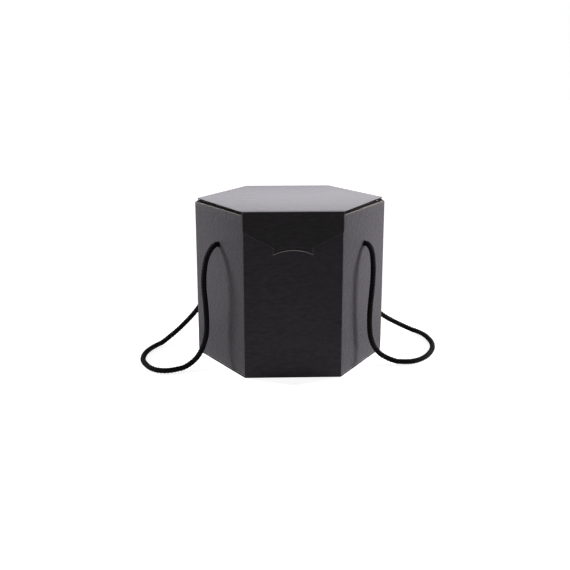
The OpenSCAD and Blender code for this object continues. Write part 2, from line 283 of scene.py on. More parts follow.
def material(name):
    """The named material, made when it is first asked for: one shader with the inputs that its maker returns."""
    if name not in MATERIALS:
        board = bpy.context.scene.gift_board
        maker, *values = {
            "black_kraft_liner": (liner_inputs, board.liner, 0.45, 0.355),
            # Painted shade: a darker, less glossy copy of the liner for the front flap
            "black_kraft_liner_shaded_flap": (liner_inputs, board.pressed, 0.5, 0.045),
            # Painted shade: a near-black copy of the liner for the dust flaps under the lid
            "black_kraft_liner_dust_flap_shade": (liner_inputs, board.dust_flap_shade, 0.7, 0.0),
            "cut_corrugated_edge": (cut_inputs, board.core),
            "braided_polyester": (rope_inputs, bpy.context.scene.gift_rope.yarn),
        }[name]
        MATERIALS[name] = bpy.data.materials.new(name)
        tree = empty_tree(MATERIALS[name])
        shader = add(tree, "BsdfPrincipled", maker(tree, *values))
        add(tree, "OutputMaterial", {"Surface": shader})
    return MATERIALS[name]


# ------------ plan of the box

def along(i):
    """Unit direction of wall i, anticlockwise."""
    d = CORNERS[(i + 1) % 6] - CORNERS[i]
    return d / np.hypot(*d)


def inward(i):
    """Unit direction square to wall i, into the box."""
    return np.array([-along(i)[1], along(i)[0]])


def middle(i):
    """Middle of wall i's outer face."""
    return (CORNERS[i] + CORNERS[(i + 1) % 6]) / 2


def length(i):
    """Width of wall i's outer face."""
    return float(np.hypot(*(CORNERS[(i + 1) % 6] - CORNERS[i])))


def turn(i):
    """How far the walls turn at corner i, in radians."""
    a, b = along(i - 1), along(i)
    return atan2(a[0] * b[1] - a[1] * b[0], a @ b)


def points(x, y, z):
    """Coordinates that are numbers or arrays, put together to points."""
    return np.stack(np.broadcast_arrays(x, y, z), -1)


def on_wall(i, x, y, z):
    """Points given along wall i from its middle, into the box and up, turned to the frame."""
    p, d, n = middle(i), along(i), inward(i)
    return points(p[0] + d[0] * x + n[0] * y, p[1] + d[1] * x + n[1] * y, z)


# ------------ meshes

def put(name, data):
    """A new object in the scene."""
    made = bpy.data.objects.new(name, data)
    bpy.context.scene.collection.objects.link(made)
    return made


def face_outwards(mesh):
    """Turns every face round if the volume of the closed mesh is negative, which says that it is inside out."""
    mesh.calc_loop_triangles()
    co, tris = np.empty(len(mesh.vertices) * 3), np.empty(len(mesh.loop_triangles) * 3, np.int32)
    mesh.vertices.foreach_get("co", co)
    mesh.loop_triangles.foreach_get("vertices", tris)
    a, b, c = co.reshape(-1, 3)[tris.reshape(-1, 3)].transpose(1, 0, 2)
    if np.einsum("ij,ij->i", a, np.cross(b, c)).sum() < 0:
        mesh.flip_normals()


def make_piece(name, co, faces, kinds, uv, uv_name, parts, values, smooth):
    """A new object of points in millimetres and quads, with one UV and the named values for each point. kinds gives
    each face's place in parts, the materials' names, and edges up to smooth degrees are shaded smooth."""
    mesh = bpy.data.meshes.new(name)
    mesh.from_pydata((co * MM).tolist(), [], faces.tolist())
    for part in parts:
        mesh.materials.append(material(part))
    mesh.polygons.foreach_set("material_index", np.asarray(kinds, np.int32))
    loops = np.empty(len(mesh.loops), np.int32)
    mesh.loops.foreach_get("vertex_index", loops)
    mesh.uv_layers.new(name=uv_name).data.foreach_set("uv", uv[loops].astype(np.float32).ravel())
    for key, value in values.items():
        mesh.attributes.new(key, "FLOAT", "POINT").data.foreach_set("value", value.astype(np.float32))
    mesh.shade_smooth()
    mesh.set_sharp_from_angle(angle=radians(smooth))
    mesh.update()
    face_outwards(mesh)
    return put(name, mesh)


def finish_piece(piece, nodes, body=None):
    """Hides the CAD nodes that a piece replaces and attaches it to the body that carries it."""
    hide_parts(*nodes)
    if body:
        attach(piece, body)


def steps(low, high, size):
    """Evenly spaced values from low to high, about size apart."""
    return np.linspace(low, high, max(2, int(round(abs(high - low) / size)) + 1))


def joined(*parts):
    """Rows from several runs, in order and without doubles."""
    return np.unique(np.round(np.concatenate(parts), 5))


def drawn_in(radius, past):
    """How far a corner's round draws a side in, at a distance past the place where the round begins."""
    return radius - np.sqrt(np.maximum(radius ** 2 - np.maximum(past, 0) ** 2, 0))


def round_rows(end, radius, count):
    """Rows over a corner's round that ends at end, closer together towards it."""
    return end - radius + radius * np.sin(np.linspace(0, pi / 2, count))


# ------------ board

def board_solid(name, outer, inner, up, through, hole=None, wear_and_highlight=0.0, liner="black_kraft_liner"):
    """A closed board. outer and inner are two grids of points, rows by columns, whose borders are joined by bands. up
    is the distance across the flutes, and through holds each grid's depth in the board from 0 to 1. hole marks grid
    cells that are left out of both faces, and whose rim gets a band too. The wear argument is how far each outer point
    is lightened towards pale fibre: a painted highlight, in part real rubbing."""
    rows, columns = outer.shape[:2]
    count = rows * columns
    index = np.arange(count).reshape(rows, columns)
    keep = np.ones((rows - 1, columns - 1), bool) if hole is None else ~hole
    face = np.stack([index[:-1, :-1], index[:-1, 1:], index[1:, 1:], index[1:, :-1]], -1)[keep]
    # An edge is on the rim where only one of the two cells beside it is kept
    padded = np.pad(keep, 1)
    lower, upper, left, right = padded[:-1, 1:-1], padded[1:, 1:-1], padded[1:-1, :-1], padded[1:-1, 1:]
    bands = []
    for rim, p, q in ((upper & ~lower, index[:, :-1], index[:, 1:]), (lower & ~upper, index[:, 1:], index[:, :-1]),
                      (right & ~left, index[1:], index[:-1]), (left & ~right, index[:-1], index[1:])):
        bands.append(np.stack([q[rim], p[rim], p[rim] + count, q[rim] + count], -1))
    faces = np.concatenate([face, face[:, ::-1] + count, *bands])
    co = np.concatenate([outer.reshape(-1, 3), inner.reshape(-1, 3)])
    flutes = (up / board_mm("flute_pitch")).ravel()
    uv = np.concatenate([np.stack([flutes, share.ravel()], -1) for share in through])
    rub_and_highlight = np.append(np.broadcast_to(wear_and_highlight, (rows, columns)), np.zeros(count))
    used, fresh = np.unique(faces, return_inverse=True)
    return make_piece(name, co[used], fresh.reshape(-1, 4), np.arange(len(faces)) >= 2 * len(face), uv[used], "board",
                      (liner, "cut_corrugated_edge"), {"wear_and_highlight": rub_and_highlight[used]}, smooth=40)


def pressed(r):
    """A quarter round of radius r in three steps: distances in from a cut border, and depths below the face."""
    a = np.linspace(0, pi / 2, 4)
    return r - r * np.sin(a)[::-1][:-1], (r - r * np.cos(a))[::-1][:-1]


def press_ends(v, r, first):
    """Rows of a board whose far end is cut, and whose near end is too if first is set: the pressed round's rows come
    in there. Returns the rows and how deep each lies below the face."""
    inset, depth = pressed(r)
    near, near_depth = (v[0] + np.append(inset, r), np.append(depth, 0.0)) if first else (v[:1], [0.0])
    return (np.concatenate([near, v[1:-1], [v[-1] - r], v[-1] - inset[::-1]]),
            np.concatenate([near_depth, np.zeros(len(v) - 1), depth[::-1]]))


def board_sheet(name, v, half, place, columns=9, cut_first=True, crease=None, liner="black_kraft_liner",
                extra_edge_highlight=0.0):
    """A board with straight or shaped sides. v holds the rows' distances along the board and half(v) its half-width at
    each. place(x, v, w) bends flat points at depth w below the outer face into the frame. Every cut border is pressed
    round on both faces, and its liner is lightened as a painted highlight, in part real rubbing. crease(v) is how far
    the liner is lightened over a fold, a painted highlight in part from its stretching."""
    r = board_mm("edge_round")
    inset, side_depth = pressed(r)
    v, sunk = press_ends(np.asarray(v, float), r, cut_first)
    h = half(v)[:, None]
    core = np.linspace(-1, 1, columns) * (h - r - board_mm("rub_and_highlight_width"))
    x = np.concatenate([inset - h, r - h, core, h - r, h - inset[::-1]], 1)
    depth = np.maximum(sunk[:, None], np.concatenate([side_depth, np.zeros(columns + 2), side_depth[::-1]]))
    # Painted highlight, partly real rubbing: the pressed columns at both sides are lightened towards pale fibre
    rub_and_highlight = np.full(4, bpy.context.scene.gift_board.edge_wear_and_highlight + extra_edge_highlight)
    wear_and_highlight = np.maximum(crease(v)[:, None] if crease else np.zeros((len(v), 1)),
                      np.concatenate([rub_and_highlight, np.zeros(columns), rub_and_highlight]))
    rows = np.broadcast_to(v[:, None], x.shape)
    return board_solid(name, place(x, rows, depth), place(x, rows, BOARD - depth), rows,
                       (depth / BOARD, 1 - depth / BOARD), wear_and_highlight=wear_and_highlight, liner=liner)


def fold_path(start, heading, bend, radius, lead):
    """A path in a plane: lead along heading, an arc of that radius through bend radians, then straight on.
    Returns place2(v, w), which gives the two coordinates of points at distance v and depth w on the arc's side."""
    side = 1 if bend > 0 else -1
    bend = abs(bend)
    ahead = np.array([cos(heading), sin(heading)])
    inner = np.array([-sin(heading), cos(heading)]) * side
    centre = np.array(start, float) + ahead * lead + inner * radius

    def place2(v, w):
        """Up to lead and beyond the bend a point goes straight on, and between them it goes round the centre by an
        angle of its distance over the radius."""
        angle = np.clip((v - lead) / radius, 0, bend).ravel()
        straight = np.minimum(v - lead, 0) + np.maximum(v - lead - radius * bend, 0)
        out = -inner[:, None] * np.cos(angle) + ahead[:, None] * np.sin(angle)
        forward = ahead[:, None] * np.cos(angle) + inner[:, None] * np.sin(angle)
        p = centre[:, None] + out * (radius - w.ravel()) + forward * straight.ravel()
        return p[0].reshape(v.shape), p[1].reshape(v.shape)

    return place2


def fold_highlight_and_stretch(arc_end):
    """How far the liner is lightened along a fold that ends at arc_end: 0.27 in its middle, and nothing from 0.4 mm
    beyond its ends. It is a painted highlight on the fold's round, in part the liner's stretching."""
    middle, half = arc_end / 2, arc_end / 2 + 0.4
    return lambda v: 0.27 * np.clip(1 - ((v - middle) / half) ** 2, 0, 1) ** 5


# ------------ walls

FOLD_COLUMNS = 6


def fold_end(i, corner, cut=0.0):
    """The right end of wall i, where its outer face goes round half of the fold at a corner, to the plane that halves
    it. cut moves the end in. Returns the outer face's x and depth, and the inner face's x."""
    radius, bend = board_mm("fold_radius"), turn(corner) / 2
    arc = np.linspace(1, 0, FOLD_COLUMNS) * bend
    half = length(i) / 2 - cut
    return (half - radius * tan(bend) + radius * np.sin(arc), radius * (1 - np.cos(arc)), half - BOARD * tan(bend))


def wall_section(i, left_raw=False, right_cut=0.0, focus=None):
    """Columns of wall i from one fold to the other, 25 steps between them. left_raw ends it in a cut edge at the left,
    right_cut moves its right end in, and focus holds columns of its own for the middle. Returns the outer face's x and
    depth, and the inner face's x."""
    left_x, left_w, left_in = fold_end(i, i)
    left_x, left_in = -left_x, -left_in
    if left_raw:
        half, r = length(i) / 2, board_mm("edge_round")
        left_x, left_w, left_in = np.array([-half, -half + r]), np.array([r, 0.0]), -half
    right_x, right_w, right_in = fold_end(i, (i + 1) % 6, right_cut)
    core = steps(left_x[-1], right_x[-1], (right_x[-1] - left_x[-1]) / 25)[1:-1]
    if focus is not None:
        core = np.unique(np.concatenate([core[np.abs(core) > focus[-1] + 0.5], focus]))
    x = np.concatenate([left_x, core, right_x[::-1]])
    inner = np.interp(x, [x[0], x[-1]], [left_in, right_in])
    if left_raw:
        inner[:2] = left_x
    return x, np.concatenate([left_w, np.zeros(len(core)), right_w[::-1]]), inner


def wall_rows(bottom, top, extra=()):
    """Rows of a wall and how far the outer face stands back at each: a fold's arc at the bottom, a cut edge on top."""
    radius, r = board_mm("fold_radius"), board_mm("edge_round")
    arc = np.linspace(0, pi / 2, 7)[:-1]
    body = steps(bottom + radius, top - r, 12)
    if len(extra):
        body = np.unique(np.concatenate([body[(body < min(extra) - 1) | (body > max(extra) + 1)], extra]))
    inset, depth = pressed(r)
    return (np.concatenate([bottom + radius * (1 - np.cos(arc)), body, top - inset[::-1]]),
            np.concatenate([radius * (1 - np.sin(arc)), np.zeros(len(body)), depth[::-1]]))


def cells(values, low, high):
    """Marks the steps between two values that both lie from low to high."""
    inside = (values >= low - TINY) & (values <= high + TINY)
    return inside[:-1] & inside[1:]


def wall_solid(name, i, section, rows, hole=None, shape=None):
    """A wall whose section is carried up its rows. shape(x, z) returns the two moved, how far the board bulges out,
    how far only its outer face is pressed in, and how far its liner is lightened, a painted highlight in part standing
    for wear."""
    x, w, inner_x = section
    z, sunk = rows
    grid_x, grid_z, in_x = (np.broadcast_to(g, (len(z), len(x))) for g in (x, z[:, None], inner_x))
    depth = np.maximum(w, sunk[:, None])
    back = np.full_like(depth, BOARD)
    back[-3:] -= sunk[-3:, None]
    bulge, wear_and_highlight = 0.0, 0.0
    if shape:
        grid_x, grid_z, bulge, pressed_in, wear_and_highlight = shape(grid_x, grid_z)
        depth = np.maximum(depth, pressed_in)
        in_x = np.where(np.abs(grid_x) < abs(x[FOLD_COLUMNS]), grid_x, in_x)
    return board_solid(name, on_wall(i, grid_x, depth - bulge, grid_z), on_wall(i, in_x, back - bulge, grid_z), grid_z,
                       (depth / BOARD, back / BOARD), hole, wear_and_highlight)


def lip_height(x):
    """Height of the tongue slot's lower edge: an arc over the slot's width, level beyond it."""
    radius = (SLOT_HALF ** 2 + LIP_ARCH ** 2) / (2 * LIP_ARCH)
    inside = np.sqrt(np.maximum(radius ** 2 - np.minimum(np.abs(x), SLOT_HALF) ** 2, 0))
    return LIP_ENDS + inside - (radius - LIP_ARCH)


class GIFTBOX_OT_front_wall(bpy.types.Operator):
    """Front panel, with the slot and the curved lip that hold the lid's tongue"""
    bl_idname = "giftbox.front_wall"
    bl_label = "Front Panel"

    def execute(self, context):
        # The lip's rounding, its swell, how fast that fades downwards and how far it goes on beside the slot, and how
        # far down the rows follow the lip's arc
        lip_round, swell, fade, beside, reach = 0.7, 0.6, 9.0, 5, 24.0
        inset, depth = pressed(lip_round)
        low_rows = np.concatenate([LIP_ENDS - reach * (1 - np.linspace(0, 1, 9)[:-1]) ** 1.5 - lip_round,
                                   [LIP_ENDS - lip_round], LIP_ENDS - inset[::-1]])
        section = wall_section(FRONT, focus=np.linspace(-SLOT_HALF, SLOT_HALF, 33))
        rows = wall_rows(0.0, WALL_TOP, extra=np.append(low_rows, SLOT_TOP))
        hole = cells(rows[0], LIP_ENDS, SLOT_TOP)[:, None] & cells(section[0], -SLOT_HALF, SLOT_HALF)

        def lip(x, z):
            """Rows below the slot rise with its arc, less and less downwards, and the lip stands out a little."""
            arch, below = lip_height(x), z <= LIP_ENDS + TINY
            share = np.clip(1 - (LIP_ENDS - z) / reach, 0, 1)
            moved = z + np.where(below, (arch - LIP_ENDS) * share ** 1.5, 0)
            drop = np.maximum(arch - moved, 0)
            wide = np.cos(np.clip(x / (SLOT_HALF + beside), -1, 1) * pi / 2) ** 2
            bulge = np.where(moved <= arch + TINY, swell * np.exp(-(drop / fade) ** 2) * wide, 0)
            near = below & (np.abs(x) <= SLOT_HALF + TINY)
            sunk = np.where(near, np.interp(z, low_rows[-4:], np.append(0.0, depth[::-1])), 0)
            # Painted highlight: the lip's crest, which faces up and catches the light, is lightened fully towards pale
            # fibre, and its two ends only a little
            rub_and_highlight = near & (z > LIP_ENDS - 0.9 * lip_round)
            return x, moved, bulge, sunk, rub_and_highlight * np.where(np.abs(x) < SLOT_HALF - TINY, 1.0, 0.15)

        piece = wall_solid("front_panel_board", FRONT, section, rows, hole, lip)
        finish_piece(piece, ["front_panel"], "box")
        return {"FINISHED"}


class GIFTBOX_OT_side_walls(bpy.types.Operator):
    """Four side panels, each with the hole for one end of a rope"""
    bl_idname = "giftbox.side_walls"
    bl_label = "Side Panels"

    def execute(self, context):
        # The hole is punched half a millimetre wider all round than the rope
        hole_r = context.scene.gift_rope.diameter / MM / 2 + 0.5
        # Half-widths of the square that becomes the hole's rim and of the one beyond which the grid stays square
        rim, reach = 4.5, 9.0
        focus = np.linspace(-1, 1, 17) * reach

        def round_hole(x, z):
            """Squares round the hole's middle become circles, less and less away from its rim."""
            up = z - HOLE_HEIGHT
            square, far = np.maximum(np.abs(x), np.abs(up)), np.hypot(x, up)
            share = np.clip((reach - square) / rim, 0, 1)
            wanted = hole_r + (square - rim) * (reach - hole_r) / rim
            scale = np.where(far > 1e-6, wanted / np.maximum(far, 1e-6), 1)
            scale = np.where(square < reach - TINY, share * scale + (1 - share), 1)
            return x * scale, HOLE_HEIGHT + up * scale, 0.0, 0.0, 0.0

        for name, i in SIDES.items():
            section = wall_section(i, left_raw=(i == BACK_LEFT), focus=focus)
            rows = wall_rows(BOARD, WALL_TOP - board_mm("fold_radius"), extra=HOLE_HEIGHT + focus)
            hole = cells(rows[0] - HOLE_HEIGHT, -rim, rim)[:, None] & cells(section[0], -rim, rim)
            piece = wall_solid(name + "_panel_board", i, section, rows, hole, round_hole)
            finish_piece(piece, [name + "_panel"], "box")
        return {"FINISHED"}


class GIFTBOX_OT_back_wall(bpy.types.Operator):
    """Back panel, which is folded round into the glue tab at its left corner"""
    bl_idname = "giftbox.back_wall"
    bl_label = "Back Panel and Glue Tab"

    def execute(self, context):
        radius = board_mm("fold_radius")
        section = wall_section(BACK, right_cut=BOARD / sin(turn(BACK_LEFT)))
        piece = wall_solid("back_panel_board", BACK, section, wall_rows(0.0, LID_TOP - radius))
        finish_piece(piece, ["back_panel"], "box")

        # The glue tab runs on from the back panel's fold, one board inside the back left panel. It narrows a little
        # towards its cut end, and its edges are pressed by 0.2 mm
        low, high = corner_mm("glue_tab", 0)[2], corner_mm("glue_tab", 1)[2]
        press, glue, narrowed, width = 0.2, 0.02, 0.05, 26.0
        half, bend = length(BACK_LEFT) / 2, turn(BACK_LEFT) / 2
        start, end = -half - BOARD / tan(2 * bend), -half + width
        arc = np.linspace(1, 0, FOLD_COLUMNS) * bend
        tangent = start + radius * tan(bend)
        x = np.concatenate([tangent - radius * np.sin(arc), steps(tangent, end - press, 6)[1:], [end]])
        w = np.concatenate([radius * (1 - np.cos(arc)), np.zeros(len(x) - FOLD_COLUMNS - 1), [press]])
        inner_x = np.interp(x, [x[0], x[-1]], [start + BOARD * tan(bend), end])
        z = np.concatenate([[low], steps(low + press, high - press, 12), [high]])
        taper = np.clip((end - x) / (end - start), 0, 1)
        grid_z = low + (high - low) / 2 + (z[:, None] - (low + high) / 2) * (1 - narrowed * (1 - taper))
        depth = np.broadcast_to(w, grid_z.shape).copy()
        depth[[0, -1]] = np.maximum(depth[[0, -1]], press)
        back = np.full_like(depth, BOARD)
        back[[0, -1]] -= press
        back[:, -1] = BOARD - press
        outer, inner = (on_wall(BACK_LEFT, across, BOARD + glue + deep, grid_z)
                        for across, deep in ((x, depth), (inner_x, back)))
        tab = board_solid("glue_tab_board", outer, inner, grid_z, (depth / BOARD, back / BOARD))
        finish_piece(tab, ["glue_tab"], "box")
        return {"FINISHED"}


# ------------ base

def reach_in(node, i):
    """How far a CAD node reaches into the box from wall i's outer face."""
    co = np.array([v.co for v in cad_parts[node].data.vertices])[:, :2] / MM
    return float(((co - middle(i)) @ inward(i)).max())


class GIFTBOX_OT_base(bpy.types.Operator):
    """Two base halves with their locking tab and finger notch, and the four flaps that lie on them"""
    bl_idname = "giftbox.base"
    bl_label = "Base"

    def execute(self, context):
        # The halves end half a seam from the middle and a clearance inside the side panels' outer faces
        seam, clearance = 0.25, 0.5
        lean = (HALF_SPAN - HALF_FRONT) / HALF_DEPTH
        side_in = clearance / cos(atan2(lean, 1.0))
        wall = HALF_DEPTH - BOARD

        def half_width(y):
            """The half-width falls evenly from the side corners to the front and back walls, less the clearance."""
            return HALF_SPAN - lean * np.abs(y) - side_in

        def front(x, v, w):
            """The front half, level and turned half round, so that it runs from the seam to the front."""
            return points(-x, -v, w)

        def notched(x, v, w):
            """The back half, whose rows near the seam bend back round a half circle for a finger."""
            notch, fade = 12.0, 22.0
            inside = np.sqrt(np.maximum(notch ** 2 - np.minimum(np.abs(x), notch) ** 2, 0))
            return points(x, v + inside * np.clip(1 - (v - seam) / fade, 0, 1), w)

        for name, size, place, columns in (("front", 10, front, 17), ("back", 5, notched, 91)):
            piece = board_sheet(f"base_{name}_half_board", steps(seam, wall, size), half_width, place, columns=columns)
            finish_piece(piece, [f"base_{name}_flap"], "box")

        # The tab rises out of the front half, over 9 mm, and lies on the back half
        tab_half, corner, root, tip, climb, sunk = 30.0, 8.0, -12.0, 24.0, 9.0, 1.45

        def tab_width(v):
            """Straight sides, drawn in by a quarter round at each corner of the tip."""
            return tab_half - drawn_in(corner, v - (tip - corner))

        def tab_place(x, v, w):
            """The tab lies sunk at its root and rises by u squared times 3 less 2 u, with u the share of its climb."""
            rise = np.clip((v - root) / climb, 0, 1)
            rise = rise * rise * (3 - 2 * rise)
            return points(x, v, 2 * BOARD - sunk * (1 - rise) - w)

        rows = np.concatenate([steps(root, -3.0, 1.0), steps(-3.0, tip - corner, 5)[1:],
                               round_rows(tip, corner, 9)[1:]])
        piece = board_sheet("base_lock_tab_board", rows, tab_width, tab_place)
        finish_piece(piece, [], "box")

        # The inner flaps, from their walls' inner faces
        deep = reach_in("base_front_right_flap", FRONT_RIGHT) - BOARD
        corner, setback, taper = 4.0, 3.0, tan(radians(38))
        rows = np.concatenate([steps(0, deep - corner, 8), round_rows(deep, corner, 7)[1:]])
        for name, i in SIDES.items():
            def inner_width(v, i=i):
                """Narrows evenly from the wall inwards, and by a quarter round at each corner of its end."""
                return length(i) / 2 - setback - v * taper - drawn_in(corner, v - (deep - corner))

            def lay(x, v, w, i=i):
                """Level on the base halves, inwards from the wall's inner face."""
                return on_wall(i, x, BOARD + v, 2 * BOARD - w)

            piece = board_sheet("base_" + name + "_flap_board", rows, inner_width, lay, columns=7)
            finish_piece(piece, ["base_" + name + "_flap"], "box")
        return {"FINISHED"}


# ------------ lid

class GIFTBOX_OT_lid(bpy.types.Operator):
    """Lid panel, folded from the top of the back panel"""
    bl_idname = "giftbox.lid"
    bl_label = "Lid Panel"

    def execute(self, context):
        # The lid is let in at both ends of its fold, to clear the side panels
        radius, let_in = board_mm("fold_radius"), 1.0
        low, back_y, back_half = LID_TOP - radius, HALF_DEPTH - radius, HALF_FRONT - let_in
        path = fold_path((HALF_DEPTH, low), pi / 2, pi / 2, radius, 0.0)
        flat_from = radius * pi / 2
        front_y = FLAP_FACE + radius + FOLD_LEAD
        front_half = FLAP_HALF + (front_y + HALF_DEPTH) * (LID_HALF - FLAP_HALF) / HALF_DEPTH
        # The tips at the left and right corner are blunted over 1.5 mm
        blunt, blunting = 1.5, 0.3

        def half(v):
            """Straight edges from the back fold out to the tips and from there in to the front fold, less the blunting,
            which grows evenly towards a tip."""
            y = back_y - (v - flat_from)
            sharp = np.where(y > 0, np.interp(y, [0, back_y], [LID_HALF, back_half]),
                             np.interp(y, [front_y, 0], [front_half, LID_HALF]))
            return sharp - np.where(np.abs(y) < blunt, (blunt - np.abs(y)) * blunting, 0)

        def place(x, v, w):
            """Up from the back wall, round the fold and level forwards."""
            return points(x, *path(v, w))

        rows = np.unique(np.concatenate([
            np.linspace(0, flat_from, 9), steps(flat_from, flat_from + back_y - front_y, 8),
            flat_from + HALF_DEPTH - radius + np.linspace(-blunt, blunt, 5)]))
        # The lid's back fold gets a painted highlight, in part its stretched liner
        piece = board_sheet("lid_panel_board", rows, half, place, columns=25, cut_first=False,
                            crease=fold_highlight_and_stretch(flat_from))
        finish_piece(piece, ["lid_panel"])
        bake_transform(piece)
        return {"FINISHED"}


class GIFTBOX_OT_front_flap(bpy.types.Operator):
    """Flap in front of the front panel, which dips into the tongue behind the lip"""
    bl_idname = "giftbox.front_flap"
    bl_label = "Front Flap and Tongue"

    def execute(self, context):
        radius = board_mm("fold_radius")
        front_y, low = FLAP_FACE + radius + FOLD_LEAD, LID_TOP - radius
        # The flap's sides are upright down to side_low and then slant to the tongue, whose corners are round
        side_low, corner = LID_TOP - 22.5, 5.0
        path = fold_path((front_y, LID_TOP), pi, pi / 2, radius, FOLD_LEAD)
        drop_from = FOLD_LEAD + radius * pi / 2
        # The tongue's dip begins above the lip and ends below it, at the depth where the lip's inside is passed
        above, below, pass_depth, lean = 5.0, 3.2, 3.75, tan(radians(23.5))
        # How much more it leans and dips at its sides than in its middle
        side_lean, side_dip = 0.175, 0.85
        # How far below the lid's top the flap begins to stand off, and how far its lower corners do
        flush, most_off = 8.0, 1.6

        def dip(x, z):
            """How far the tongue lies behind the flap's face: nothing until a little above the lip, then a cubic that
            passes under the lip and joins the tongue's straight lean below it. It is deeper at the sides."""
            wide = np.clip(np.abs(x) / TONGUE_HALF, 0, 1) ** 2
            over = z - lip_height(x)
            slope, span = lean + side_lean * wide, above + below
            end = pass_depth + side_dip * wide + slope * below
            u = np.clip((above - over) / span, 0, 1)
            cubic = end * (3 * u ** 2 - 2 * u ** 3) + slope * span * (u ** 3 - u ** 2)
            return np.where(np.abs(x) <= TONGUE_HALF + 1e-6, cubic + slope * np.maximum(-below - over, 0), 0)

        def stand_off(x, z):
            """How far the flap's slanted lower edges spring away from the panel: nothing near the lid and beside the
            tongue, and more down and outwards."""
            begin = LID_TOP - flush
            down = np.clip((begin - z) / (begin - FLAP_LOW), 0, 1)
            out = np.clip((np.abs(x) - TONGUE_HALF) / (FLAP_HALF - TONGUE_HALF), 0, 1)
            return most_off * down ** 2 * np.sqrt(out)

        def half(v):
            """The lid's slant up to the fold, then upright and slanted sides, then the tongue's straight ones, drawn in
            by a quarter round at each corner of its tip."""
            z = low - (v - drop_from)
            shoulder = np.interp(z, [FLAP_LOW, side_low], [TONGUE_HALF + 0.1, FLAP_HALF])
            tongue = TONGUE_HALF - drawn_in(corner, TONGUE_TIP + corner - z)
            on_lid = FLAP_HALF + np.maximum(FOLD_LEAD - v, 0) * (LID_HALF - FLAP_HALF) / HALF_DEPTH
            return np.where(v < FOLD_LEAD, on_lid, np.where(z >= FLAP_LOW, shoulder, tongue))

        def place(x, v, w):
            """Below the fold a point goes back by the dip, less the stand-off, and its depth is square to the dip."""
            y, z = path(v, np.zeros_like(v))
            slope = (dip(x, z - 0.25) - dip(x, z + 0.25)) / 0.5
            y_depth = 1 / np.sqrt(1 + slope ** 2)
            y_fold, z_fold = path(v, w)
            hangs = v > drop_from
            return points(x, np.where(hangs, y + (dip(x, z) - stand_off(x, z)) + w * y_depth, y_fold),
                          np.where(hangs, z + w * (slope * y_depth), z_fold))

        def row(z):
            """How far along the board a height on the hanging flap is."""
            return drop_from + low - z

        rows = joined([0.0], np.linspace(FOLD_LEAD, drop_from, 9), row(steps(low, side_low, 5)),
                      row(steps(side_low, FLAP_LOW, 1.5)), row(steps(FLAP_LOW, TONGUE_TIP + corner, 1.0)),
                      round_rows(row(TONGUE_TIP), corner, 8))
        # The flap takes the darker liner, a painted shade, and its cut edges a stronger painted highlight
        piece = board_sheet("lid_front_flap_board", rows, half, place, columns=61, cut_first=False,
                            liner="black_kraft_liner_shaded_flap", extra_edge_highlight=0.13)
        finish_piece(piece, ["lid_front_flap", "lock_tongue"])
        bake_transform(piece)
        return {"FINISHED"}


class GIFTBOX_OT_dust_flaps(bpy.types.Operator):
    """Four dust flaps, folded in under the lid from the side panels"""
    bl_idname = "giftbox.dust_flaps"
    bl_label = "Dust Flaps"

    def execute(self, context):
        radius = board_mm("fold_radius")
        # They spring up from level by 2.6 degrees, and their corners beside the fold curl up under the lid's tips
        bend, depth, setback, corner, curl_up = pi / 2 - radians(2.6), 48.0, 0.4, 5.0, 2.2
        # The ends' slants from the fold and from a step further in, and how far the curl reaches along the fold
        mitre, step, step_in, slanted, curl_reach = tan(radians(32)), 1.1, 2.0, tan(radians(38)), 14
        low, flat_from = WALL_TOP - radius, radius * bend
        end = flat_from + depth - radius
        path = fold_path((0.0, low), pi / 2, -bend, radius, 0.0)
        rows = joined(np.linspace(0, flat_from, 9), flat_from + np.array([0.7, 1.4, 2.0, 4.0]),
                      steps(flat_from + 6, end - corner, 6), round_rows(end, corner, 8))
        for name, i in SIDES.items():
            root = length(i) / 2 - setback

            def half(v, root=root):
                """Close to the fold the ends follow the mitre of the box's corner, and then they slant away."""
                reach = np.maximum(v - flat_from + radius, 0)
                slant = np.maximum(reach * mitre, step + (reach - step_in) * slanted)
                return root - slant - drawn_in(corner, v - (end - corner))

            def place(x, v, w, i=i, root=root):
                """The curl rises over the first 1.5 mm from the fold, and fades from 2 to 20 mm into the box."""
                y, z = path(v, w)
                out = np.clip(1 - (root - np.abs(x)) / curl_reach, 0, 1) ** 2
                reach = np.maximum(v - flat_from, 0)
                curl = curl_up * out * np.clip(reach / 1.5, 0, 1) * np.clip(1 - (reach - 2) / 18, 0, 1) ** 2
                return on_wall(i, x, y, z + curl)

            # The dust flaps take the near-black liner, a painted shade for the shadow under the lid, and their folds a
            # painted highlight
            piece = board_sheet(name + "_dust_flap_board", rows, half, place, columns=33, cut_first=False,
                                crease=fold_highlight_and_stretch(flat_from), liner="black_kraft_liner_dust_flap_shade")
            finish_piece(piece, [name + "_dust_flap"])
            tuple(on_wall(i, 0.0, 0.0, low) * MM)
            tuple(on_wall(i, 0.0, radius, WALL_TOP) * MM)
            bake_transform(piece)
        return {"FINISHED"}


# ------------ ropes

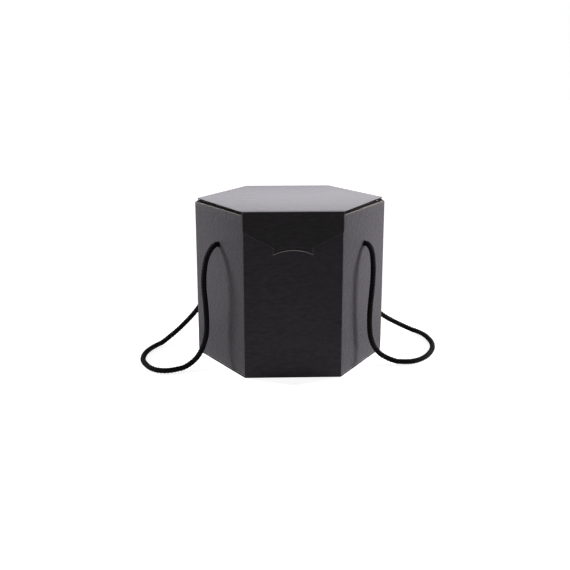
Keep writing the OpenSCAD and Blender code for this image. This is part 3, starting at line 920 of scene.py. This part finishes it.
# The middle of each rope in millimetres, from its front hole to its back one
LEFT_ROUTE = [(-88.5, -51, 146.5), (-94, -54.5, 141), (-98.5, -57, 131), (-101, -58, 118),
              (-102, -58.5, 104.5), (-101.5, -58.5, 90.5), (-100.5, -58, 76.5), (-100, -57, 63),
              (-100, -56.5, 49.5), (-101.5, -56, 36.5), (-105.5, -56.5, 24), (-112, -59, 13),
              (-121, -64, 6), (-131.5, -71, 3), (-143.5, -77, 3), (-156, -76, 3),
              (-166, -68, 3), (-173, -56, 3), (-178, -42.5, 3), (-179.5, -28.5, 3),
              (-178.5, -14.5, 3), (-175, -1, 3), (-169.5, 11.5, 3), (-162.5, 23.5, 3.5),
              (-154, 32.5, 8), (-144.5, 38.5, 14.5), (-135, 43.5, 22.5), (-125.5, 48.5, 31.5),
              (-117, 53, 41), (-109.5, 56, 51.5), (-105, 58, 63.5), (-102.5, 59, 76.5),
              (-102, 59, 90.5), (-102, 58.5, 104.5), (-101, 58, 118), (-98.5, 57, 131),
              (-94, 54.5, 141), (-88.5, 51, 146.5)]
RIGHT_ROUTE = [(88.5, -51, 146), (92.5, -54, 139.5), (94, -56.5, 128), (94.5, -57.5, 115),
               (94, -58, 101.5), (93, -58.5, 88), (92, -58.5, 74.5), (91.5, -58, 61),
               (92, -56.5, 47.5), (94, -54.5, 34), (98.5, -53, 22), (106.5, -52, 12),
               (117, -53, 6), (129.5, -56, 3), (143, -56, 3), (155, -49, 3),
               (165, -37.5, 3), (172, -24.5, 3), (177, -11.5, 3), (180, 2, 3),
               (181, 15.5, 3), (180, 29.5, 3), (177.5, 43, 3), (172.5, 55.5, 3),
               (165, 66, 3.5), (154.5, 71.5, 7), (142.5, 71.5, 13), (131, 69, 20),
               (120.5, 65.5, 28.5), (112, 62.5, 39), (106, 60.5, 52), (103, 59.5, 66),
               (102, 59, 80.5), (102, 58.5, 95), (101.5, 58, 109), (100, 57.5, 122.5),
               (96.5, 56, 135.5), (89, 51.5, 146)]
# One overhand knot, drawn tight, on a rope that comes in along the first axis: the middle of the rope in its turns,
# and then the loose end behind it, which droops
OVERHAND = np.array([(-6.4, 0.5, 1.6), (-2.2, -1.6, 0.4), (1.5, -2.8, -2.2), (4.7, 0.0, -4.2), (5.6, 4.3, -2.7),
                     (3.9, 6.1, 1.3), (1.3, 3.6, 4.2), (-1.0, -0.6, 5.2), (-3.6, -4.4, 4.3), (-5.4, -5.4, 0.1),
                     (-4.7, -2.6, -3.7), (-1.8, 1.1, -3.7), (1.8, 1.8, -0.7), (5.8, 0.5, 1.6),
                     (9.3, -0.4, 2.2), (12.6, -0.8, 1.0), (15.2, -1.0, -1.2)])


def smooth_path(route, first, last, spacing):
    """A smooth curve through a route: each stretch is a cubic in 60 steps, with slopes of half the step between the
    points' neighbours. Returns points spaced evenly along it, and its length. first and last are its directions at its
    ends."""
    p = np.asarray(route, float)
    slope = np.empty_like(p)
    slope[1:-1] = (p[2:] - p[:-2]) / 2
    slope[0] = np.asarray(first) * np.linalg.norm(p[1] - p[0])
    slope[-1] = np.asarray(last) * np.linalg.norm(p[-1] - p[-2])
    u = np.linspace(0, 1, 60, endpoint=False)[None, :, None]
    a, b, ma, mb = p[:-1, None], p[1:, None], slope[:-1, None], slope[1:, None]
    curve = ((2 * u ** 3 - 3 * u ** 2 + 1) * a + (u ** 3 - 2 * u ** 2 + u) * ma
             + (3 * u ** 2 - 2 * u ** 3) * b + (u ** 3 - u ** 2) * mb).reshape(-1, 3)
    curve = np.concatenate([curve, p[-1:]])
    far = np.concatenate([[0], np.cumsum(np.linalg.norm(np.diff(curve, axis=0), axis=1))])
    even = np.linspace(0, far[-1], int(far[-1] / spacing) + 1)
    return np.stack([np.interp(even, far, curve[:, k]) for k in range(3)], -1), far[-1]


def unit_rows(v):
    """Vectors brought to length 1."""
    return v / np.linalg.norm(v, axis=-1, keepdims=True)


def carried_frames(path, stride):
    """Two directions square to a path that never twist round it. Each step turns the first one by the turn of the
    path, worked out at every stride of points and filled in between."""
    ahead = unit_rows(np.gradient(path, axis=0))
    coarse = np.unique(np.append(np.arange(0, len(path), stride), len(path) - 1))
    up = [unit_rows(np.cross(np.cross(ahead[0], (0.0, 0.0, 1.0)), ahead[0]))]
    for k in coarse[1:]:
        up.append(unit_rows(up[-1] - (up[-1] @ ahead[k]) * ahead[k]))
    up = np.array(up)
    side = np.stack([np.interp(np.arange(len(path)), coarse, up[:, k]) for k in range(3)], -1)
    side = unit_rows(side - np.sum(side * ahead, -1, keepdims=True) * ahead)
    return side, np.cross(ahead, side)


def braid(theta, s, strands, pitch):
    """Height from 0 to 1 over a round braid, and the place across and along the strand on top. Strands turn both ways,
    at a and b turns of the count. In each diamond where two cross, one lies on top, and they take turns. It is a
    dome, long along its own strand and 0.35 as high at its ends."""
    a = strands * theta / (2 * pi) + s / pitch
    b = strands * theta / (2 * pi) - s / pitch
    u, w = a - np.floor(a), b - np.floor(b)
    top = (np.floor(a) + np.floor(b)) % 2 < 1
    across, lengthways = np.where(top, u, w), np.where(top, w, u)
    dome = np.sqrt(np.maximum(1 - (across * 2 - 1) ** 2, 0)) * (1 - 0.65 * (lengthways * 2 - 1) ** 2)
    return dome, across, lengthways


def rope_piece(name, path, total, crest, stride=12, sealed=0.0):
    """A tube round the path whose radius follows the braid, up to crest. Over the last length sealed it closes in on
    a quarter round to 0.3 of its radius, as a cut end does that is melted so that it can't fray."""
    s = bpy.context.scene.gift_rope
    around, rings = 48, len(path)
    theta = np.linspace(0, 2 * pi, around, endpoint=False)
    run, angle = np.meshgrid(np.linspace(0, total, rings), theta, indexing="ij")
    height, across, lengthways = braid(angle, run, s.strands, s.pitch / MM)
    r = crest - s.relief / MM * (1 - height)
    if sealed:
        gone = np.clip(1 - (total - run) / sealed, 0, 1)
        r = r * (0.3 + 0.7 * np.sqrt(1 - gone ** 2))
    side, other = carried_frames(path, stride)
    spokes = np.cos(theta)[:, None] * side[:, None] + np.sin(theta)[:, None] * other[:, None]
    co = np.concatenate([(path[:, None] + r[..., None] * spokes).reshape(-1, 3), path[:1], path[-1:]])
    index = np.arange(rings * around).reshape(rings, around)
    after = np.roll(index, -1, axis=1)
    faces = [np.stack([index[:-1], after[:-1], after[1:], index[1:]], -1).reshape(-1, 4)]
    # Each end closes on a middle point, by quads that share it
    for k, order in ((0, -1), (-1, 1)):
        ring = [index[k, ::2], index[k, 1::2], np.roll(index[k], -2)[::2]][::order]
        faces.append(np.stack([np.full(around // 2, rings * around - k), *ring], -1))
    faces = np.concatenate(faces)
    # Across a strand the yarn's filaments are close together, and along it they are drawn out
    uv = np.concatenate([np.stack([across * 4, lengthways * 0.6 + run], -1).reshape(-1, 2), np.zeros((2, 2))])
    return make_piece(name, co, faces, np.zeros(len(faces)), uv, "braid", ["braided_polyester"],
                      {"crown": np.append(height, [0.5, 0.5])}, smooth=75)


class GIFTBOX_OT_knots(bpy.types.Operator):
    """Overhand knots that stop the ropes inside the side panels"""
    bl_idname = "giftbox.knots"
    bl_label = "Knots"

    def execute(self, context):
        # From a wall's inner face to the middle of its knot
        behind = 9.4
        crest = context.scene.gift_rope.diameter / MM / 2
        for node, i in (("left_rope_front_knot", FRONT_LEFT), ("left_rope_back_knot", BACK_LEFT),
                        ("right_rope_front_knot", FRONT_RIGHT), ("right_rope_back_knot", BACK_RIGHT)):
            inner, across, up = OVERHAND.T
            route = on_wall(i, across, BOARD + behind + inner, HOLE_HEIGHT + up)
            start, inside = on_wall(i, 0.0, BOARD, HOLE_HEIGHT), np.append(inward(i), 0.0)
            path, total = smooth_path([start, *route], inside, unit_rows(route[-1] - route[-2]), 0.3)
            piece = rope_piece(node + "_braid", path, total, crest, stride=2, sealed=1.6)
            finish_piece(piece, [node], "box")
        return {"FINISHED"}


class GIFTBOX_OT_ropes(bpy.types.Operator):
    """Two braided rope handles, each from a front side panel to the back one"""
    bl_idname = "giftbox.ropes"
    bl_label = "Ropes"

    def execute(self, context):
        s = context.scene.gift_rope
        crest = (s.diameter / 2 + s.crest) / MM
        for name, route, first, last in (("left_rope", LEFT_ROUTE, FRONT_LEFT, BACK_LEFT),
                                         ("right_rope", RIGHT_ROUTE, FRONT_RIGHT, BACK_RIGHT)):
            start, stop = (on_wall(i, 0.0, BOARD, HOLE_HEIGHT) for i in (first, last))
            out, back = np.append(-inward(first), 0.0), np.append(inward(last), 0.0)
            path, total = smooth_path([start] + route + [stop], out, back, 0.36)
            # The rope lies on the floor by the tops of its strands
            path[:, 2] = np.maximum(path[:, 2], crest)
            piece = rope_piece(name + "_braid", path, total, crest)
            finish_piece(piece, [name], "box")
        return {"FINISHED"}


# ------------ studio

class GIFTBOX_OT_camera(bpy.types.Operator):
    """Camera, level with a person who looks down at the box on a table"""
    bl_idname = "giftbox.camera"
    bl_label = "Camera"

    def execute(self, context):
        azimuth, elevation, roll = radians(-1.756), radians(15.104), radians(-0.059)
        # Where the camera stands to its right, up and back from the origin, and its focal length in pixels
        place, focal, width = (-6.31, 81.35, 1083.3), 862.4, 570
        back = Vector((sin(azimuth) * cos(elevation), -cos(azimuth) * cos(elevation), sin(elevation)))
        right = Vector((cos(azimuth), sin(azimuth), 0.0))
        up = back.cross(right)
        axes = (right * cos(roll) + up * sin(roll), up * cos(roll) - right * sin(roll), back)
        spot = axes[0] * place[0] * MM + axes[1] * place[1] * MM + axes[2] * place[2] * MM
        data = bpy.data.cameras.new("camera")
        data.sensor_width = 36.0
        data.lens = 36.0 * focal / width
        camera = put("camera", data)
        camera.matrix_world = Matrix.Translation(spot) @ Matrix(axes).transposed().to_4x4()
        context.scene.camera = camera
        return {"FINISHED"}


def seen_directly(tree):
    """A node that gives 1 for the camera's rays and for mirrored and refracted ones, and 0 for diffuse light."""
    rays = add(tree, "LightPath").outputs
    either = add(tree, "Math", {0: rays["Is Camera Ray"], 1: rays["Is Glossy Ray"]}, operation="MAXIMUM")
    return add(tree, "Math", {0: either, 1: rays["Is Transmission Ray"]}, operation="MAXIMUM")


class GIFTBOX_OT_stage(bpy.types.Operator):
    """White floor, pale studio and two soft lamps at the sides"""
    bl_idname = "giftbox.stage"
    bl_label = "Stage"

    def execute(self, context):
        s = context.scene.gift_studio
        white = (1.0, 1.0, 1.0, 1.0)
        # The floor is a disc, just under the box
        radius, drop = 6000, 0.3
        angle = np.linspace(0, 2 * pi, 96, endpoint=False)
        ring = points(radius * np.cos(angle), radius * np.sin(angle), -drop)
        mesh = bpy.data.meshes.new("floor")
        mesh.from_pydata((ring * MM).tolist(), [], [list(range(len(ring)))])
        mesh.materials.append(bpy.data.materials.new("white_floor"))
        tree = empty_tree(mesh.materials[0])
        # What the camera and reflections see is nearly white by itself, and keeps a faint part of the shadows
        matt = add(tree, "BsdfDiffuse", {"Color": linear(s.floor)})
        # Its own glow rises to full white from 0.22 m to 0.5 m away from the box's middle
        place = add(tree, "TexCoord").outputs["Object"]
        far = add(tree, "VectorMath", {0: place}, operation="LENGTH").outputs["Value"]
        glow = add(tree, "MapRange", {0: far, 1: 0.22, 2: 0.5, 3: s.floor_glow, 4: 1.0})
        bright = add(tree, "Emission", {"Color": white, "Strength": glow})
        shade = add(tree, "BsdfDiffuse", {"Color": (s.floor_shadow,) * 3 + (1.0,)})
        both = add(tree, "AddShader", {0: bright, 1: shade})
        seen = add(tree, "MixShader", {0: seen_directly(tree), 1: matt, 2: both})
        add(tree, "OutputMaterial", {"Surface": seen})
        put("floor", mesh)

        context.scene.world = bpy.data.worlds.new("studio")
        tree = empty_tree(context.scene.world)
        # The studio is brightest behind the box, dim at the sides and paler on the camera's side. Depth goes from -1
        # straight behind the camera to 1 straight behind the box
        where = add(tree, "TexCoord").outputs["Generated"]
        depth = add(tree, "SeparateXYZ", {0: where}).outputs[1]
        skies = [add(tree, "MapRange", {0: depth, 1: begin, 2: end, 3: low, 4: high}, interpolation_type="SMOOTHSTEP")
                 for begin, end, low, high in ((-0.6, 0.1, s.front_sky, s.side_sky),
                                               (0.1, 0.9, 0.0, s.back_sky - s.side_sky))]
        sky = add(tree, "Math", dict(enumerate(skies)), operation="ADD")
        light = add(tree, "Background", {"Color": white, "Strength": sky})
        plain = add(tree, "Background", {"Color": white, "Strength": 1.0})
        mix = add(tree, "MixShader", {0: seen_directly(tree), 1: light, 2: plain})
        add(tree, "OutputWorld", {"Surface": mix})

        for name, side, power in (("left_softbox", -1, s.left_power), ("right_softbox", 1, s.right_power)):
            data = bpy.data.lights.new(name, "AREA")
            data.shape, data.size, data.spread, data.energy = "SQUARE", s.lamp_size, s.lamp_spread, power
            lamp = put(name, data)
            # The lamps point at the side panels, 0.7 of the way out to the corners and 20 mm behind them
            target = Vector((side * HALF_SPAN * 0.7, 20, s.lamp_aim / MM)) * MM
            level = cos(s.lamp_rise)
            ray = Vector((side * cos(s.lamp_back) * level, sin(s.lamp_back) * level, sin(s.lamp_rise)))
            lamp.location = target + ray * s.lamp_distance
            lamp.rotation_euler = (-ray).to_track_quat("-Z", "Y").to_euler()
            lamp.visible_camera = False
        context.scene.view_settings.view_transform = "Standard"
        return {"FINISHED"}


# ------------ add-on

OPERATORS = [GIFTBOX_OT_camera, GIFTBOX_OT_knots, GIFTBOX_OT_ropes, GIFTBOX_OT_front_wall, GIFTBOX_OT_side_walls,
             GIFTBOX_OT_back_wall, GIFTBOX_OT_base, GIFTBOX_OT_lid, GIFTBOX_OT_front_flap, GIFTBOX_OT_dust_flaps,
             GIFTBOX_OT_stage]
SETTINGS = {"gift_board": BoardSettings, "gift_rope": RopeSettings, "gift_studio": StudioSettings}


class GIFTBOX_PT_panel(bpy.types.Panel):
    """Lists the box's pieces and their settings"""
    bl_idname = "GIFTBOX_PT_panel"
    bl_label = "Gift Box"
    bl_space_type = "VIEW_3D"
    bl_region_type = "UI"
    bl_category = "Gift Box"

    def draw(self, context):
        for operator in OPERATORS:
            self.layout.operator(operator.bl_idname)
        for key, group in SETTINGS.items():
            box = self.layout.box()
            for prop in group.__annotations__:
                box.prop(getattr(context.scene, key), prop)


def register():
    for cls in [*SETTINGS.values(), *OPERATORS, GIFTBOX_PT_panel]:
        bpy.utils.register_class(cls)
    for key, group in SETTINGS.items():
        setattr(bpy.types.Scene, key, PointerProperty(type=group))


def unregister():
    for key in SETTINGS:
        delattr(bpy.types.Scene, key)
    for cls in [GIFTBOX_PT_panel, *reversed(OPERATORS), *SETTINGS.values()]:
        bpy.utils.unregister_class(cls)


def main():
    """Registers the add-on and makes every piece in order."""
    register()
    for operator in OPERATORS:
        group, name = operator.bl_idname.split(".")
        getattr(getattr(bpy.ops, group), name)()


if __name__ == "__main__":
    main()
